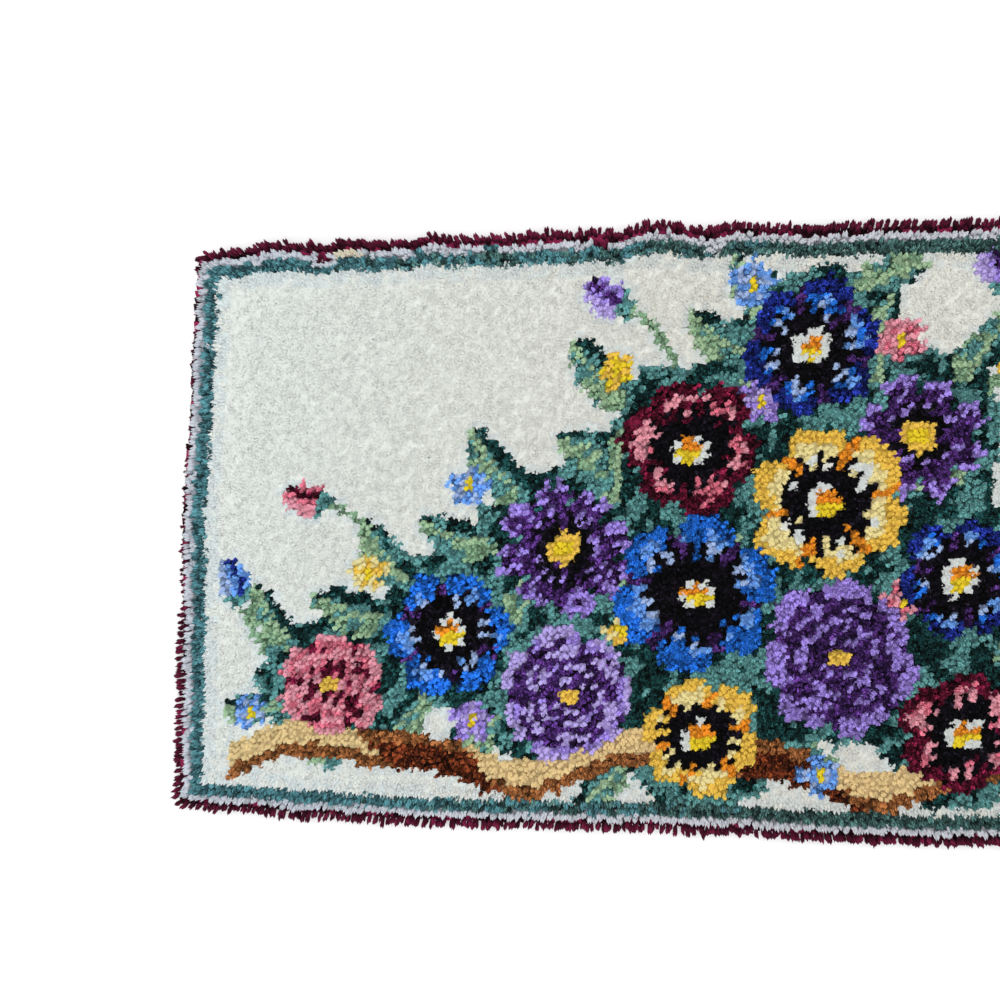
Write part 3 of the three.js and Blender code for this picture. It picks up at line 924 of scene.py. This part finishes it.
def lay_ends():
    """Corners, shades, faces and map of all cut ends, two for each knot."""
    count = len(knot_place)
    hold = np.where(is_cream, 0, np.where(from_edge < TEAL_ROWS, 2, 1))
    hold[from_edge < BURGUNDY_ROWS] = 3
    tip_spread, tip_noise, splay, radius, blunt = np.array(TUFTS)[hold].T[..., None, None]
    apart = np.array([[[-1.0, 0.0], [1.0, 0.0]]])
    roots = knot_place[:, None] + ROOT_SPREAD * apart
    spread = tip_spread * np.array([[[-1.0, -1.0], [1.0, 1.0]]]) - ROOT_SPREAD * apart
    spread += tip_noise * pile_chance.normal(0, 1, (count, 2, 2))
    rim = np.exp(-from_edge / RIM_FADE)[:, None, None]
    spread += (1 - RIM_STEADY * rim) * pile_chance.normal(0, KNOT_SHIFT, (count, 1, 2))
    nap = np.stack((cloud(5) + cloud(1.7), cloud(5) + cloud(1.7) - 0.5), axis=-1).reshape(-1, 1, 2) * NAP
    fan = pile_chance.choice((-1, 1), (count, 1, 1)) * np.array([[[-1], [1]]]) * END_FAN
    lean = knot_lean[:, None] * (1 + fan * (1 - RIM_STEADY * rim)) + (spread + nap) / PILE_LENGTH
    own_lean = knot_lean[:, None] * (1 - RIM_LEAN_STEADY * rim)
    lean = lean + own_lean * pile_chance.normal(0, LEAN_UNEVEN, (count, 2, 1))
    lean = lean + rim * pile_chance.normal(0, RIM_LEAN_UNEVEN, lean.shape)
    lengths = PILE_LENGTH * pile_chance.normal(1, LENGTH_UNEVEN, (count, 2, 1))
    lengths += rim * pile_chance.normal(0, RIM_LENGTH_UNEVEN, lengths.shape)
    lengths += CLIP_WAVES * cloud(4).ravel()[:, None, None]
    roll = read_edge(LEFT_ROLL, knot_up)[:, None, None]
    tucked = (column.ravel() == 0)[:, None, None] * roll
    rolled_uneven = pile_chance.normal(0, ROLLED_LENGTH_UNEVEN, lengths.shape)
    lengths += tucked * (ROLLED_END_LENGTH - PILE_LENGTH + rolled_uneven)
    roots = np.concatenate((roots, np.full((count, 2, 1), ROOT_HEIGHT)), axis=-1)
    bends = roots + 0.5 * lengths * leaning(LOWER_LEAN * lean)
    tips = bends + 0.5 * lengths * leaning(UPPER_LEAN * lean)
    tips[..., 2] = np.maximum(tips[..., 2], LEAST_TIP_HEIGHT)
    radius = radius * (1 - ROLLED_THINNER * tucked) * pile_chance.normal(1, RADIUS_UNEVEN, (count, 2, 1))
    radius = radius.reshape(-1, 1, 1)
    roots, bends, tips = (part.reshape(-1, 1, 3) for part in (roots, bends, tips))
    shape, faces, heads, around = end_template()
    corners = np.repeat(shape[None], len(roots), axis=0)
    splay, blunt = (np.repeat(part, 2, axis=0)[..., None] for part in (splay, blunt))
    stray = (PLY_STRAY + SPLAY_STRAY * splay) * pile_chance.normal(0, 1, (len(roots), PLIES, 1, 2))
    corners[..., :2] += corners[..., 2:] * (splay * heads + stray)
    corners[..., 2:] **= blunt
    corners[..., 2] *= pile_chance.normal(1, PLY_LENGTH_UNEVEN, (len(roots), PLIES, 1))
    corners = corners.reshape(len(roots), -1, 3)
    high = corners[..., 2:]
    middle = roots * (1 - high) ** 2 + bends * 2 * high * (1 - high) + tips * high**2
    heading = unit((bends - roots) * (1 - high) + (tips - bends) * high)
    turn = pile_chance.uniform(0, 2 * np.pi, (len(roots), 1))
    facing = np.stack((np.cos(turn), np.sin(turn), 0 * turn), axis=-1)
    sideways = unit(np.cross(heading, facing))
    onward = np.cross(heading, sideways)
    placed = middle + radius * (sideways * corners[..., :1] + onward * corners[..., 1:2])
    placed[..., 2] = np.maximum(placed[..., 2], PLY_CLEARANCE)
    shades = np.zeros(placed.shape)
    # How far up its end each corner is, which sets the painted shade towards the root
    shades[..., 0] = np.clip(corners[..., 2], 0, 1)
    knot_shade = KNOT_SHADE * pile_chance.random((count, 1, 2))
    knot_shade[..., 0] = KNOT_OWN * knot_shade[..., 0] + DRIFT_SHADE * (1 + cloud(6).reshape(-1, 1))
    end_shade = pile_chance.random((count, 2, 2))
    ply_shade = np.repeat(pile_chance.random((len(roots), PLIES, 2)), shape.shape[1], axis=1)
    shades[..., 1:] = (knot_shade + END_SHADE * end_shade).reshape(-1, 1, 2) + PLY_SHADE * ply_shade
    shades[..., 2] = warmed_and_dimmed(shades[..., 2], np.repeat(knot_across, 2))
    return placed, shades, faces, end_map(shape.reshape(-1, 3), faces), around


end_corners, end_shades, end_faces, end_cell, end_around = lay_ends()
end_dye = np.repeat(knot_dye, 2)
PILE_PIECES = (
    ("ivory_pile", cream_yarn, ("ivory",)),
    ("white_pile", cream_yarn, ("cold_white", "beige")),
    ("burgundy_rows", burgundy_yarn, ("burgundy",)),
    ("grey_rows", dyed_yarn, ("lilac_grey",)),
    ("teal_rows", dyed_yarn, ("teal", "deep_teal")),
    ("blue_pile", dyed_yarn, ("blue", "sky_blue", "pale_blue", "navy")),
    ("violet_pile", dyed_yarn, ("aubergine", "lilac", "pale_lilac")),
    ("rose_pile", dyed_yarn, ("rose", "pale_pink", "wine")),
    ("yellow_pile", dyed_yarn, ("pale_yellow", "gold", "orange", "yellow")),
    ("black_pile", dyed_yarn, ("black",)),
    ("green_pile", dyed_yarn, ("bottle_green", "sea_green", "sage", "pale_sage")),
    ("ribbon_pile", dyed_yarn, ("tan", "brown", "nut")),
)
for name, material, dye_names in PILE_PIECES:
    chosen = np.isin(end_dye, [DYE_NAMES.index(dye_name) for dye_name in dye_names])
    colours = yarn_colours[end_dye[chosen]]
    mesh = repeated_mesh(
        name, end_corners[chosen], end_faces, end_cell, end_around, colours, end_shades[chosen]
    )
    fluff_up(mesh, CREAM_FLUFF if material is cream_yarn else DYED_FLUFF)
    piece = new_piece(name, mesh, material)
    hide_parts("hooked_rug")


# Studio floor
# The rug lies flat on a wide sheet of pale matt paper, as on a photographer's floor.
# It is so wide that none of its edges is in the picture.
FLOOR_HALF_WIDTH = 6
floor_mesh = bpy.data.meshes.new("floor")
sweep = bmesh.new()
bmesh.ops.create_grid(sweep, x_segments=1, y_segments=1, size=FLOOR_HALF_WIDTH)
sweep.to_mesh(floor_mesh)
sweep.free()
floor = bpy.data.objects.new("floor", floor_mesh)
bpy.context.scene.collection.objects.link(floor)
floor_material, start = new_material("pale_floor")
paper = start.node("BsdfPrincipled", {}, {"Base Color": dyed("ffffff"), "Roughness": 0.9}, "BSDF")
start.node("OutputMaterial", {}, {"Surface": paper})
floor_mesh.materials.append(floor_material)


# Soft studio light
# A wide soft box hangs overhead and a weaker one stands at the lower left, both aimed at the rug.
# Pale surroundings throw an even light back from all sides.
# Name, place, width and depth, and watts
SOFT_BOXES = (
    ("overhead_box", (0.3, 0.5, 2.6), (2.4, 2.4), 50),
    ("side_box", (-2.2, -1.6, 1.9), (1.6, 1.6), 20),
)
SURROUND_STRENGTH = 0.6
for name, place, size, power in SOFT_BOXES:
    light = bpy.data.lights.new(name, "AREA")
    light.shape = "RECTANGLE"
    light.size, light.size_y = size
    light.energy = power
    box = bpy.data.objects.new(name, light)
    box.location = place
    box.rotation_euler = (-Vector(place)).to_track_quat("-Z", "Y").to_euler()
    bpy.context.scene.collection.objects.link(box)
world = bpy.data.worlds.new("pale_surround")
world.use_nodes = True
surround = world.node_tree.nodes["Background"]
surround.inputs["Color"].default_value = (1, 1, 1, 1)
surround.inputs["Strength"].default_value = SURROUND_STRENGTH
bpy.context.scene.world = world


# Camera
# It is held by hand 1.26 m over the rug, and looks from there a little to the left and down the rug,
# not quite level.
LENS = 43.2
SENSOR_WIDTH = 36
CAMERA_PLACE = (0.0989, 0.1166, 1.258)
CAMERA_TURNS = (-3.814, 9.21, -0.55)
camera = bpy.data.cameras.new("camera")
camera.sensor_width = SENSOR_WIDTH
camera.lens = LENS
viewpoint = bpy.data.objects.new("camera", camera)
viewpoint.location = CAMERA_PLACE
viewpoint.rotation_euler = [math.radians(angle) for angle in CAMERA_TURNS]
bpy.context.scene.collection.objects.link(viewpoint)
bpy.context.scene.camera = viewpoint
bpy.context.scene.view_settings.view_transform = "Standard"
